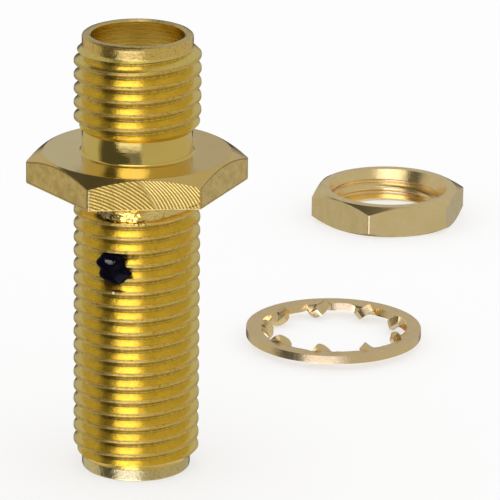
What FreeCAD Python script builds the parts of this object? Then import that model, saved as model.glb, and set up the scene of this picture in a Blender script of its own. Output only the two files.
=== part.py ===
import FreeCAD, Part
import os
import Sketcher
from FreeCAD import Placement, Rotation, Vector

# Coaxial bulkhead adapter with a threaded jack at each end, with its panel nut and
# its toothed lock washer lying beside it.
# The origin is on the axis, in the hexagon's face that seats on the panel. +Z points
# along the short jack. The adapter stands on the mouth of its long jack.

SIZES = (
    # Turned body, outside
    ("thread_od", 6.25, "crest diameter of both threads"),
    ("hex_flats", 9.5, "hexagon across its flats"),
    ("hex_height", 1.6, "hexagon along the axis"),
    ("hex_chamfer_circle", 9.25, "circle that the chamfer leaves on the hexagon's top"),
    ("hex_chamfer_angle", 30, "slope of that chamfer"),
    ("short_reach", 6.0, "hexagon's top to the short jack's mouth"),
    ("short_pilot_od", 5.47, "plain nose of the short jack"),
    ("short_pilot_len", 0.62, "length of that nose"),
    ("neck_od", 5.47, "neck between hexagon and short thread"),
    ("neck_len", 1.2, "length of that neck"),
    ("long_reach", 14.8, "panel face to the long jack's mouth"),
    ("long_pilot_od", 5.4, "plain nose of the long jack"),
    ("long_pilot_len", 0.62, "length of that nose"),
    ("nose_edge", 0.08, "broken outer edge of both noses"),
    # Inside of both jacks
    ("mouth_bore", 4.62, "bore that the plug's sleeve enters"),
    ("mouth_depth", 1.93, "mouth to the insulator's face"),
    ("mouth_edge", 0.1, "broken edge of the mouth"),
    ("insulator_od", 4.13, "insulator's outside"),
    ("insulator_clearance", 0.01, "radial clearance around the insulator"),
    # Centre contact
    ("contact_od", 1.27, "contact's outside"),
    ("contact_clearance", 0.015, "radial clearance around the contact"),
    ("contact_edge", 0.06, "broken edges of the contact's ends"),
    ("socket_bore", 0.94, "bore that grips the plug's pin"),
    ("socket_depth", 2.9, "depth of that bore"),
    ("socket_point", 0.25, "drill point below that bore"),
    ("slot_width", 0.12, "width of the slots between the fingers"),
    ("slot_len", 2.2, "length of those slots"),
    ("contact_neck_od", 0.9, "contact's neck under the cross hole"),
    ("contact_neck_len", 2.0, "length of that neck"),
    # Cross hole, filled with epoxy
    ("plug_hole", 1.4, "cross hole through body and insulator"),
    ("plug_angle", 27.5, "turn of the cross hole from the front flat"),
    # Panel nut
    ("nut_flats", 7.94, "nut across its flats"),
    ("nut_height", 1.8, "nut's thickness"),
    ("nut_chamfer_circle", 7.8, "circle that the chamfers leave on the nut"),
    ("nut_chamfer_angle", 28, "slope of both chamfers"),
    ("nut_bore", 5.65, "crest diameter of the nut's thread"),
    ("nut_sink_od", 6.75, "countersink at the nut's top"),
    ("nut_sink_depth", 0.95, "depth of that countersink"),
    ("nut_foot_edge", 0.2, "broken edge of the bore at the nut's foot"),
    ("nut_x", 17.4, "nut's place beside the adapter"),
    ("nut_y", 38.8, "nut's place behind the adapter"),
    ("nut_angle", 9.3, "turn of the nut where it lies"),
    # Lock washer
    ("washer_od", 9.4, "washer's outside"),
    ("washer_root", 7.9, "ring's inside, between the teeth"),
    ("washer_tips", 6.45, "circle through the tips of the teeth"),
    ("washer_thick", 0.45, "thickness of the washer's sheet"),
    ("tooth_count", 9, "teeth of the washer"),
    ("tooth_root_width", 1.3, "tooth where it leaves the ring"),
    ("tooth_shoulder_width", 1.2, "tooth where its point starts"),
    ("tooth_tip_width", 0.3, "blunt end of the tooth"),
    ("tooth_point_len", 0.4, "length of the tooth's point"),
    ("tooth_twist_angle", 40, "twist of the tooth about its own length"),
    ("washer_x", 11.9, "washer's place beside the adapter"),
    ("washer_y", 17.6, "washer's place behind the adapter"),
    ("washer_angle", 15.8, "turn of the washer where it lies"),
)

# Reach of the cutting profiles past the metal that they cut
OVERCUT = 1.0

# Levels and radii that several pieces share, as expressions on the sheet
SHORT_END = "(Sizes.hex_height + Sizes.short_reach)"
LONG_END = "(-Sizes.long_reach)"
MIDDLE = "((Sizes.hex_height + Sizes.short_reach - Sizes.long_reach) / 2)"
SHORT_FACE = f"({SHORT_END} - Sizes.mouth_depth)"
LONG_FACE = f"({LONG_END} + Sizes.mouth_depth)"
CREST = "(Sizes.thread_od / 2)"
INSULATOR_WALL = "(Sizes.insulator_od / 2)"
CONTACT_WALL = "(Sizes.contact_od / 2)"
CONTACT_BORE = f"({CONTACT_WALL} + Sizes.contact_clearance)"
NECK_WALL = "(Sizes.contact_neck_od / 2)"
NECK_TOP = f"({MIDDLE} + Sizes.contact_neck_len / 2)"
NECK_FOOT = f"({MIDDLE} - Sizes.contact_neck_len / 2)"


def make_sheet(doc):
    """Write every driving size to the sheet, with its alias and its meaning."""
    sheet = doc.addObject("Spreadsheet::Sheet", "Sizes")
    for row, (alias, size, meaning) in enumerate(SIZES, start=1):
        sheet.set(f"A{row}", alias)
        sheet.set(f"B{row}", str(size))
        sheet.set(f"C{row}", meaning)
        sheet.setAlias(f"B{row}", alias)
    doc.recompute()
    return sheet


def make_body(doc, name):
    """Add an empty body whose label names the piece."""
    body = doc.addObject("PartDesign::Body", name)
    body.Label = name
    return body


def make_sketch(body, role, name):
    """Add a sketch on one of the body's own origin planes."""
    sketch = body.newObject("Sketcher::SketchObject", name)
    plane = next(one for one in body.Origin.OriginFeatures if one.Role == role)
    sketch.AttachmentSupport = [(plane, "")]
    sketch.MapMode = "FlatFace"
    return sketch


def tie(sketch, kind, line, expression):
    """Tie the start of a line to the sketch's origin along one direction."""
    place = float(sketch.evalExpression(expression))
    ends = (-1, 1, line, 1) if place > 0 else (line, 1, -1, 1)
    signed = expression if place > 0 else f"-({expression})"
    index = sketch.addConstraint(Sketcher.Constraint(kind, *ends, abs(place)))
    sketch.setExpression(f"Constraints[{index}]", signed)


def draw_outline(sketch, corners):
    """Close an outline through corners that are pairs of expressions; "0" lies on an axis."""
    spots = [Vector(*(float(sketch.evalExpression(part)) for part in corner), 0) for corner in corners]
    first = sketch.GeometryCount
    following = [first + (step + 1) % len(spots) for step in range(len(spots))]
    for step, spot in enumerate(spots):
        sketch.addGeometry(Part.LineSegment(spot, spots[(step + 1) % len(spots)]), False)
    for step, (across, along) in enumerate(corners):
        line = first + step
        sketch.addConstraint(Sketcher.Constraint("Coincident", line, 2, following[step], 1))
        for kind, axis, expression in (("DistanceX", -2, across), ("DistanceY", -1, along)):
            if expression == "0":
                sketch.addConstraint(Sketcher.Constraint("PointOnObject", line, 1, axis))
            else:
                tie(sketch, kind, line, expression)


def draw_hexagon(sketch, flats):
    """Draw a hexagon with two flats square to Y."""
    corner = f"{flats} / sqrt(3)"
    half = f"{flats} / sqrt(3) / 2"
    draw_outline(sketch, (
        (corner, "0"),
        (half, f"{flats} / 2"),
        (f"-{half}", f"{flats} / 2"),
        (f"-{corner}", "0"),
        (f"-{half}", f"-{flats} / 2"),
        (half, f"-{flats} / 2"),
    ))


def spin(body, name, kind, corners):
    """Turn a closed half section about Z, as metal for Revolution or a cut for Groove."""
    sketch = make_sketch(body, "XZ_Plane", f"{name}_section")
    draw_outline(sketch, corners)
    turned = body.newObject(f"PartDesign::{kind}", name)
    turned.Profile = sketch
    turned.ReferenceAxis = (sketch, ["V_Axis"])
    turned.Angle = 360
    return turned


def break_corners(body, name, flats, circle, angle, level, side):
    """Chamfer a hexagon's corners with a cone; side is 1 for its top and -1 for its foot."""
    reach = f"({flats} / sqrt(3) + {OVERCUT})"
    drop = f"({reach} - {circle} / 2) * tan({angle})"
    spin(body, name, "Groove", (
        (f"{circle} / 2", level),
        (reach, level),
        (reach, f"{level} - {side} * {drop}"),
    ))


def cross_hole(body, name, kind, reach):
    """Run the cross hole's circle from the axis outwards, as a Pocket or as a Pad."""
    sketch = make_sketch(body, "XZ_Plane", f"{name}_circle")
    turn = sketch.evalExpression("Sizes.plug_angle")
    sketch.AttachmentOffset = Placement(Vector(), Rotation(Vector(0, -1, 0), turn))
    sketch.setExpression("AttachmentOffset.Rotation.Angle", "Sizes.plug_angle")
    level = float(sketch.evalExpression(MIDDLE))
    radius = float(sketch.evalExpression("Sizes.plug_hole / 2"))
    sketch.addGeometry(Part.Circle(Vector(0, level, 0), Vector(0, 0, 1), radius), False)
    sketch.addConstraint(Sketcher.Constraint("PointOnObject", 0, 3, -2))
    index = sketch.addConstraint(Sketcher.Constraint("DistanceY", 0, 3, -1, 1, -level))
    sketch.setExpression(f"Constraints[{index}]", f"-{MIDDLE}")
    index = sketch.addConstraint(Sketcher.Constraint("Radius", 0, radius))
    sketch.setExpression(f"Constraints[{index}]", "Sizes.plug_hole / 2")
    run = body.newObject(f"PartDesign::{kind}", name)
    run.Profile = sketch
    run.Reversed = kind == "Pocket"
    run.setExpression("Length", reach)


def lay_down(body, piece, lift):
    """Set a loose piece down beside the adapter, on the surface that it stands on."""
    turn = body.evalExpression(f"Sizes.{piece}_angle")
    body.Placement = Placement(Vector(), Rotation(Vector(0, 0, 1), turn))
    body.setExpression("Placement.Rotation.Angle", f"Sizes.{piece}_angle")
    body.setExpression("Placement.Base.x", f"Sizes.{piece}_x")
    body.setExpression("Placement.Base.y", f"Sizes.{piece}_y")
    body.setExpression("Placement.Base.z", f"{LONG_END} + {lift}")


def adapter_body(doc):
    """The one turned piece: two noses, two threaded barrels, a neck and the hexagon."""
    body = make_body(doc, "adapter_body")
    short_nose = "Sizes.short_pilot_od / 2"
    long_nose = "Sizes.long_pilot_od / 2"
    neck = "Sizes.neck_od / 2"
    short_shoulder = f"{SHORT_END} - Sizes.short_pilot_len"
    long_shoulder = f"{LONG_END} + Sizes.long_pilot_len"
    neck_top = "Sizes.hex_height + Sizes.neck_len"
    spin(body, "turned_outside", "Revolution", (
        ("0", SHORT_END),
        (f"{short_nose} - Sizes.nose_edge", SHORT_END),
        (short_nose, f"{SHORT_END} - Sizes.nose_edge"),
        (short_nose, short_shoulder),
        (CREST, f"{short_shoulder} - ({CREST} - {short_nose})"),
        (CREST, f"{neck_top} + ({CREST} - {neck})"),
        (neck, neck_top),
        (neck, "0"),
        (CREST, "0"),
        (CREST, f"{long_shoulder} + ({CREST} - {long_nose})"),
        (long_nose, long_shoulder),
        (long_nose, f"{LONG_END} + Sizes.nose_edge"),
        (f"{long_nose} - Sizes.nose_edge", LONG_END),
        ("0", LONG_END),
    ))
    hexagon = make_sketch(body, "XY_Plane", "hexagon_outline")
    draw_hexagon(hexagon, "Sizes.hex_flats")
    flange = body.newObject("PartDesign::Pad", "hexagon")
    flange.Profile = hexagon
    flange.setExpression("Length", "Sizes.hex_height")
    break_corners(body, "hexagon_chamfer", "Sizes.hex_flats", "Sizes.hex_chamfer_circle",
                  "Sizes.hex_chamfer_angle", "Sizes.hex_height", 1)
    mouth = "Sizes.mouth_bore / 2"
    seat = f"{INSULATOR_WALL} + Sizes.insulator_clearance"
    spin(body, "bores", "Groove", (
        ("0", SHORT_END),
        (f"{mouth} + Sizes.mouth_edge", SHORT_END),
        (mouth, f"{SHORT_END} - Sizes.mouth_edge"),
        (mouth, SHORT_FACE),
        (seat, SHORT_FACE),
        (seat, LONG_FACE),
        (mouth, LONG_FACE),
        (mouth, f"{LONG_END} + Sizes.mouth_edge"),
        (f"{mouth} + Sizes.mouth_edge", LONG_END),
        ("0", LONG_END),
    ))
    cross_hole(body, "cross_hole", "Pocket", f"{CREST} + {OVERCUT}")
    return body


def insulator(doc):
    """The plastic bush that carries the contact, with its share of the cross hole."""
    body = make_body(doc, "insulator")
    spin(body, "bush", "Revolution", (
        (CONTACT_BORE, SHORT_FACE),
        (INSULATOR_WALL, SHORT_FACE),
        (INSULATOR_WALL, LONG_FACE),
        (CONTACT_BORE, LONG_FACE),
    ))
    cross_hole(body, "bush_cross_hole", "Pocket", f"{INSULATOR_WALL} + {OVERCUT}")
    return body


def center_contact(doc):
    """The contact: a socket with four sprung fingers at each end and a neck between."""
    body = make_body(doc, "center_contact")
    socket = "Sizes.socket_bore / 2"
    edge = "Sizes.contact_edge"
    spin(body, "contact_turning", "Revolution", (
        ("0", f"{SHORT_FACE} - Sizes.socket_depth - Sizes.socket_point"),
        (socket, f"{SHORT_FACE} - Sizes.socket_depth"),
        (socket, f"{SHORT_FACE} - {edge}"),
        (f"{socket} + {edge}", SHORT_FACE),
        (f"{CONTACT_WALL} - {edge}", SHORT_FACE),
        (CONTACT_WALL, f"{SHORT_FACE} - {edge}"),
        (CONTACT_WALL, NECK_TOP),
        (NECK_WALL, NECK_TOP),
        (NECK_WALL, NECK_FOOT),
        (CONTACT_WALL, NECK_FOOT),
        (CONTACT_WALL, f"{LONG_FACE} + {edge}"),
        (f"{CONTACT_WALL} - {edge}", LONG_FACE),
        (f"{socket} + {edge}", LONG_FACE),
        (socket, f"{LONG_FACE} + {edge}"),
        (socket, f"{LONG_FACE} + Sizes.socket_depth"),
        ("0", f"{LONG_FACE} + Sizes.socket_depth + Sizes.socket_point"),
    ))
    outlines = make_sketch(body, "XZ_Plane", "slot_outlines")
    half = "Sizes.slot_width / 2"
    for face, inward in ((SHORT_FACE, -1), (LONG_FACE, 1)):
        open_end = f"{face} - {inward} * {OVERCUT}"
        blind_end = f"{face} + {inward} * Sizes.slot_len"
        draw_outline(outlines, (
            (f"-{half}", open_end),
            (half, open_end),
            (half, blind_end),
            (f"-{half}", blind_end),
        ))
    slots = body.newObject("PartDesign::Pocket", "slots")
    slots.Profile = outlines
    slots.Type = "ThroughAll"
    slots.Midplane = True
    crossed = body.newObject("PartDesign::PolarPattern", "crossed_slots")
    crossed.Originals = [slots]
    crossed.Axis = (outlines, ["V_Axis"])
    crossed.Angle = 90
    crossed.Occurrences = 2
    body.Tip = crossed
    return body


def epoxy_plug(doc):
    """The epoxy: poured down the cross hole, it fills the ring around the contact's neck."""
    body = make_body(doc, "epoxy_plug")
    cross_hole(body, "poured_shaft", "Pad", f"{CREST} + {OVERCUT}")
    spin(body, "collar", "Revolution", (
        (NECK_WALL, NECK_TOP),
        (CONTACT_BORE, NECK_TOP),
        (CONTACT_BORE, NECK_FOOT),
        (NECK_WALL, NECK_FOOT),
    ))
    spin(body, "neck_print", "Groove", (
        ("0", NECK_TOP),
        (NECK_WALL, NECK_TOP),
        (NECK_WALL, NECK_FOOT),
        ("0", NECK_FOOT),
    ))
    above = f"{MIDDLE} + Sizes.plug_hole / 2 + {OVERCUT}"
    below = f"{MIDDLE} - Sizes.plug_hole / 2 - {OVERCUT}"
    spin(body, "flush_trim", "Groove", (
        (CREST, above),
        (f"{CREST} + 2 * {OVERCUT}", above),
        (f"{CREST} + 2 * {OVERCUT}", below),
        (CREST, below),
    ))
    return body


def hex_nut(doc):
    """The thin panel nut, chamfered on both faces and countersunk on the upper one."""
    body = make_body(doc, "hex_nut")
    outline = make_sketch(body, "XY_Plane", "nut_outline")
    draw_hexagon(outline, "Sizes.nut_flats")
    blank = body.newObject("PartDesign::Pad", "nut_blank")
    blank.Profile = outline
    blank.setExpression("Length", "Sizes.nut_height")
    for name, level, side in (("nut_top_chamfer", "Sizes.nut_height", 1), ("nut_foot_chamfer", "0", -1)):
        break_corners(body, name, "Sizes.nut_flats", "Sizes.nut_chamfer_circle",
                      "Sizes.nut_chamfer_angle", level, side)
    wall = "Sizes.nut_bore / 2"
    sink = "Sizes.nut_sink_od / 2"
    spin(body, "nut_hole", "Groove", (
        ("0", "Sizes.nut_height"),
        (sink, "Sizes.nut_height"),
        (wall, "Sizes.nut_height - Sizes.nut_sink_depth"),
        (wall, "Sizes.nut_foot_edge"),
        (f"{wall} + Sizes.nut_foot_edge", "0"),
        ("0", "0"),
    ))
    lay_down(body, "nut", "0")
    return body


def tooth_section(body, name, radius, width, twist):
    """One section across a tooth: the sheet's thickness, turned about the tooth's length."""
    sketch = make_sketch(body, "YZ_Plane", name)
    turn = sketch.evalExpression(twist)
    sketch.AttachmentOffset = Placement(Vector(), Rotation(Vector(0, 0, -1), turn))
    sketch.setExpression("AttachmentOffset.Base.z", radius)
    if twist != "0":
        sketch.setExpression("AttachmentOffset.Rotation.Angle", twist)
    half = f"{width} / 2"
    sheet = "Sizes.washer_thick / 2"
    draw_outline(sketch, (
        (f"-{half}", f"-{sheet}"),
        (half, f"-{sheet}"),
        (half, sheet),
        (f"-{half}", sheet),
    ))
    return sketch


def lock_washer(doc):
    """The spring washer: a flat ring with teeth that point inwards, each twisted."""
    body = make_body(doc, "lock_washer")
    outer = "Sizes.washer_od / 2"
    inner = "Sizes.washer_root / 2"
    tips = "Sizes.washer_tips / 2"
    half = "Sizes.washer_thick / 2"
    spin(body, "ring", "Revolution", (
        (inner, f"-{half}"),
        (outer, f"-{half}"),
        (outer, half),
        (inner, half),
    ))
    in_ring = f"({inner} + {outer}) / 2"
    twist = "Sizes.tooth_twist_angle"
    sections = [
        tooth_section(body, "tooth_in_ring", in_ring, "Sizes.tooth_root_width", "0"),
        tooth_section(body, "tooth_root", inner, "Sizes.tooth_root_width", "0"),
        tooth_section(body, "tooth_shoulder", f"{tips} + Sizes.tooth_point_len",
                      "Sizes.tooth_shoulder_width", twist),
        tooth_section(body, "tooth_tip", tips, "Sizes.tooth_tip_width", twist),
    ]
    tooth = body.newObject("PartDesign::AdditiveLoft", "tooth")
    tooth.Profile = sections[0]
    tooth.Sections = sections[1:]
    tooth.Ruled = True
    teeth = body.newObject("PartDesign::PolarPattern", "teeth")
    teeth.Originals = [tooth]
    teeth.Axis = (next(one for one in body.Origin.OriginFeatures if one.Role == "Z_Axis"), [""])
    teeth.Angle = 360
    teeth.setExpression("Occurrences", "Sizes.tooth_count")
    body.Tip = teeth
    # A free washer rests on the lower shoulders of its teeth.
    lay_down(body, "washer", f"Sizes.tooth_shoulder_width / 2 * sin({twist}) + {half} * cos({twist})")
    return body


def check(doc, bodies):
    """Stop on a failed object, a bad shape or a cut that takes nothing away."""
    for thing in doc.Objects:
        if "Invalid" in thing.State or "Error" in thing.State:
            raise RuntimeError(f"{thing.Name} failed: {thing.State}")
        if thing.TypeId in ("PartDesign::Pocket", "PartDesign::Groove"):
            if thing.Shape.Volume >= thing.BaseFeature.Shape.Volume:
                raise RuntimeError(f"{thing.Name} cuts nothing")
    for body in bodies:
        shape = body.Shape
        if shape.isNull() or not shape.isValid() or len(shape.Solids) != 1:
            raise RuntimeError(f"{body.Label} is not one valid solid")


os.makedirs("parts", exist_ok=True)
document = FreeCAD.newDocument("bulkhead_adapter")
make_sheet(document)
pieces = [make(document) for make in (adapter_body, insulator, center_contact, epoxy_plug, hex_nut, lock_washer)]
document.recompute()
check(document, pieces)
for piece in pieces:
    piece.Shape.exportStep(f"parts/{piece.Label}.step")
    box = piece.Shape.BoundBox
    print(f"{piece.Label}: {piece.Shape.Volume:.3f} mm3, z {box.ZMin:.3f} to {box.ZMax:.3f}")
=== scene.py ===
import math
from contextlib import contextmanager

import bmesh
import bpy
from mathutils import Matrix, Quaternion, Vector


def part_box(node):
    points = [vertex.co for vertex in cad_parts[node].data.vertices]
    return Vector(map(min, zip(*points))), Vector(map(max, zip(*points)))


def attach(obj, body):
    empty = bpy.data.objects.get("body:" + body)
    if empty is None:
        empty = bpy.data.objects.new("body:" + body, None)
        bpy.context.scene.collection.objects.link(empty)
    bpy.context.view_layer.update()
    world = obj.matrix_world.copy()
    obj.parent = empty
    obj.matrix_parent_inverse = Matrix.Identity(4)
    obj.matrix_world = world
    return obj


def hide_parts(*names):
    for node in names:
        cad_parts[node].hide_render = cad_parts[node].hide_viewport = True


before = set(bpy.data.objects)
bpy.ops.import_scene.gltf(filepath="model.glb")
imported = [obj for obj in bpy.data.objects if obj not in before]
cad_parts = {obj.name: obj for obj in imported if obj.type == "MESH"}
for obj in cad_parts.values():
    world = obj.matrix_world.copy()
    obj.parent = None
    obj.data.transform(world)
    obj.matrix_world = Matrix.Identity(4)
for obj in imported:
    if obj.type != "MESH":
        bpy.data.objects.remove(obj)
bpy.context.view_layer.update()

# Pieces are modelled in millimetres and made metres when they are finished.
MM = 0.001

# Points of a drawn or turned mesh that lie this near are one point
MERGE = 0.0001

# Edges this short are left by cuts and are dissolved; a longer limit tears holes
SLIVER = 0.00001

# A point this near to a radius, level or angle counts as on it
TOUCH = 0.001

# How far a cutter reaches past what it cuts
OVERCUT = 1.0

# How far one surface stands off another where the two would fall together
PROUD = 0.02

# Faces whose areas differ by less, in square millimetres, weigh the same in a corner's normal
ALIKE_AREA = 0.001


def corners_mm(node):
    """Lowest and highest corner of a CAD node in millimetres."""
    low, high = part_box(node)
    return low / MM, high / MM


BODY_LOW, BODY_HIGH = corners_mm("adapter_body")
NUT_LOW, NUT_HIGH = corners_mm("hex_nut")
WASHER_LOW, WASHER_HIGH = corners_mm("lock_washer")
SHORT_END = BODY_HIGH.z
LONG_END = BODY_LOW.z

# Steps round a turned surface
ROUND_STEPS = 144

# Thread 1/4-36, right-hand
PITCH = 25.4 / 36
CREST_R = 3.125
THREAD_DEPTH = 0.6134 * PITCH
THREAD_FLANK = math.radians(30)
ROOT_R = CREST_R - THREAD_DEPTH
CREST_FLAT = 0.14
THREAD_ROUND = 0.04
SHORT_CREST_LEVEL = 5.864
LONG_CREST_LEVEL = -2.479

# Turned body
HEX_FLATS = BODY_HIGH.y - BODY_LOW.y
HEX_HEIGHT = 1.6
HEX_CHAMFER_R = 4.625
HEX_CHAMFER_SLOPE = math.radians(30)
EDGE = 0.05
BAR_EDGE = 0.08
SHORT_NOSE_R = 2.735
LONG_NOSE_R = 2.70
NOSE_LEN = 0.62
NOSE_EDGE = 0.13
RIM_WIDTH = 0.28
RIM_HEIGHT = 0.16
NECK_R = 2.735
NECK_FILLET = 0.16
NECK_FILLET_SINK = 0.005
NECK_TOP = HEX_HEIGHT + 1.2
RELIEF_R = 2.925
RELIEF_LEN = 0.4
RUN_OUT_START = 0.55
RUN_OUT_LEN = 1.05
RUN_OUT_STEP = 0.1
MOUTH_R = 2.31
MOUTH_DEPTH = 1.93
MOUTH_EDGE = 0.1
SEAT_R = 2.075

# Hidden core under the threads and in the hexagon: its radius, the inner radius of what is joined to it,
# and how far past a thread's end or under the hexagon's plate its radius changes
CORE_R = ROOT_R - 0.06
SHELL_R = ROOT_R - 0.12
LAP = 0.05
CORE_LAP = 0.15
PLATE_LAP = 0.5
RELIEF_LAP = 0.6

# How far the blank that the hexagon is cut from reaches past its chamfer
BLANK_REACH = 2

# Milled arcs on the front flat: the cutter's centre, to the left and below, and the spacing of its marks
CUTTER_LEFT = 3.9
CUTTER_BELOW = 4.05
LEFT_SPACING = 0.158
RIGHT_SPACING = 0.17

# Burr on the first turn, in degrees from the front
BURR_FROM = -42
BURR_TO = 34
BURR_STEPS = 26

# How high the burr stands above its foot, as a share: at its left end, how fast it rises from there,
# and over which last share of its length it fades out
BURR_FOOT_R = 2.88
BURR_START = 0.1
BURR_RISE = 5
BURR_FADE = 0.55
BURR_CRUMPLE = 0.05

# Section of the burr: radius and level
BURR_OUTLINE = [
    (2.75, -0.35), (3.15, -0.36), (3.32, -0.5), (3.31, -0.65), (3.26, -0.79),
    (3.21, -0.93), (3.17, -1.07), (3.05, -1.17), (2.75, -1.18),
]

# Painted glint: a small white, non-metal dot on the thread
GLINT_PLACE = (-1.35, -2.82, -4.81)
GLINT_R = 0.06

# Cross hole
MIDDLE = (SHORT_END + LONG_END) / 2
PLUG_HOLE_R = 0.7
PLUG_DIRECTION = math.radians(-117.5)
PLUG_OUTWARD = Vector((math.cos(PLUG_DIRECTION), math.sin(PLUG_DIRECTION), 0))
DRILL_STEPS = 48
DRILL_LEN = 3

# Drop of epoxy, seen from outside: across and up from the hole's middle
EPOXY_OUTLINE = [
    (-0.62, 0.58), (-0.54, 0.78), (-0.16, 0.81), (0.30, 0.78), (0.60, 0.73), (0.70, 0.52),
    (0.70, 0.10), (1.20, -0.12), (0.82, -0.38), (0.60, -0.72), (0.27, -0.80), (-0.15, -0.72),
    (-0.60, -0.54), (-0.74, -0.28), (-0.54, 0.00), (-0.92, 0.20), (-0.78, 0.44),
]

# Layers of the drop from its foot: how far each rises and how much of the last one's width it keeps
EPOXY_LAYERS = ((0.30, 1.0), (0.12, 0.92), (0.08, 0.72), (0.04, 0.5))
EPOXY_INSET = 0.12
EPOXY_FOOT = 0.33

# Lamp that shines on the epoxy: direction in degrees, distance and size in metres, power in watts
GLEAM_AZIMUTH = -51
GLEAM_ELEVATION = 3
GLEAM_DISTANCE = 0.1
GLEAM_SIZE = 0.016
GLEAM_POWER = 0.036

# Nut
NUT_FLATS = 7.94
NUT_HEIGHT = NUT_HIGH.z - NUT_LOW.z
NUT_CHAMFER_R = 3.9
NUT_CHAMFER_SLOPE = math.radians(28)
NUT_BORE_R = 2.825
NUT_THREAD_R = 3.19
NUT_SINK_R = 3.375
NUT_SINK_DEPTH = 0.95
NUT_SINK_LIP = 0.03
NUT_SINK_TIP = 0.2
NUT_FOOT_EDGE = 0.2
NUT_TURN = math.radians(9.3)
NUT_CREST_LEVEL = 0.3

# How far the nut's cutters and its tap reach past its faces
NUT_CUT = 0.3
TAP_REACH = 0.2

# Lock washer
WASHER_R = 4.7
WASHER_ROOT_R = 3.95
WASHER_TIP_R = 3.225
WASHER_SHEET = 0.45
WASHER_EDGE = 0.06
WASHER_TURN = math.radians(15.8)
RING_STEPS = 3
TOOTH_COUNT = 9
TOOTH_STEPS = 6
TOOTH_ROOT_HALF = 0.65
TOOTH_SHOULDER_HALF = 0.6
TOOTH_TIP_HALF = 0.15
TOOTH_TWIST = math.radians(-40)

# Rows of a tooth from root to tip: radius, half width and share of the twist
TOOTH_ROWS = (
    (3.86, 0.62, 0.15),
    (3.76, 0.60, 0.45),
    (3.66, 0.60, 0.8),
    (3.56, 0.58, 1.0),
    (3.40, 0.40, 1.0),
    (WASHER_TIP_R, TOOTH_TIP_HALF, 1.0),
)


# Bench: small steps of modelling by hand

def take(piece):
    """Select one piece alone and make it the active one."""
    bpy.ops.object.select_all(action="DESELECT")
    piece.select_set(True)
    bpy.context.view_layer.objects.active = piece


@contextmanager
def editing(piece):
    """Open a piece in edit mode, with its mesh to select in."""
    take(piece)
    bpy.ops.object.mode_set(mode="EDIT")
    yield bmesh.from_edit_mesh(piece.data)
    bpy.ops.object.mode_set(mode="OBJECT")


def pick(piece, mesh, chosen, kind="FACE"):
    """Select the faces, edges or vertices that a test chooses, and nothing else."""
    bpy.ops.mesh.select_mode(type=kind)
    bpy.ops.mesh.select_all(action="DESELECT")
    for part in {"FACE": mesh.faces, "EDGE": mesh.edges, "VERT": mesh.verts}[kind]:
        if chosen(part):
            part.select_set(True)
    mesh.select_flush_mode()
    bmesh.update_edit_mesh(piece.data)


def apply_modifier(piece, kind, **settings):
    """Add one modifier, set it up and apply it."""
    take(piece)
    modifier = piece.modifiers.new(kind.lower(), kind)
    for key, value in settings.items():
        setattr(modifier, key, value)
    bpy.ops.object.modifier_apply(modifier=modifier.name)


def draw(name, corners):
    """Draw an open outline in the XZ plane: one vertex, extruded from corner to corner."""
    bpy.ops.object.select_all(action="DESELECT")
    bpy.ops.mesh.primitive_plane_add(size=1)
    piece = bpy.context.object
    piece.name = name
    with editing(piece):
        bpy.ops.mesh.select_mode(type="VERT")
        bpy.ops.mesh.select_all(action="SELECT")
        bpy.ops.mesh.merge(type="CENTER")
        bpy.ops.transform.translate(value=(corners[0][0], 0, corners[0][1]))
        for here, there in zip(corners, corners[1:]):
            step = (there[0] - here[0], 0, there[1] - here[1])
            bpy.ops.mesh.extrude_vertices_move(TRANSFORM_OT_translate={"value": step})
    return piece


def close_shell(piece):
    """Merge doubled points and turn the faces outwards."""
    with editing(piece):
        bpy.ops.mesh.select_mode(type="VERT")
        bpy.ops.mesh.select_all(action="SELECT")
        bpy.ops.mesh.remove_doubles(threshold=MERGE)
        bpy.ops.mesh.normals_make_consistent(inside=False)


def turn(name, corners, steps=ROUND_STEPS):
    """Turn a half section about the axis, as on a lathe; it is closed unless it ends on the axis."""
    solid = corners[0][0] == 0 and corners[-1][0] == 0
    piece = draw(name, corners if solid else [*corners, corners[0]])
    with editing(piece):
        bpy.ops.mesh.select_all(action="SELECT")
        bpy.ops.mesh.remove_doubles(threshold=MERGE)
        bpy.ops.mesh.select_all(action="SELECT")
        bpy.ops.mesh.spin(steps=steps, angle=2 * math.pi, center=(0, 0, 0), axis=(0, 0, 1))
    close_shell(piece)
    return piece


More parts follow.
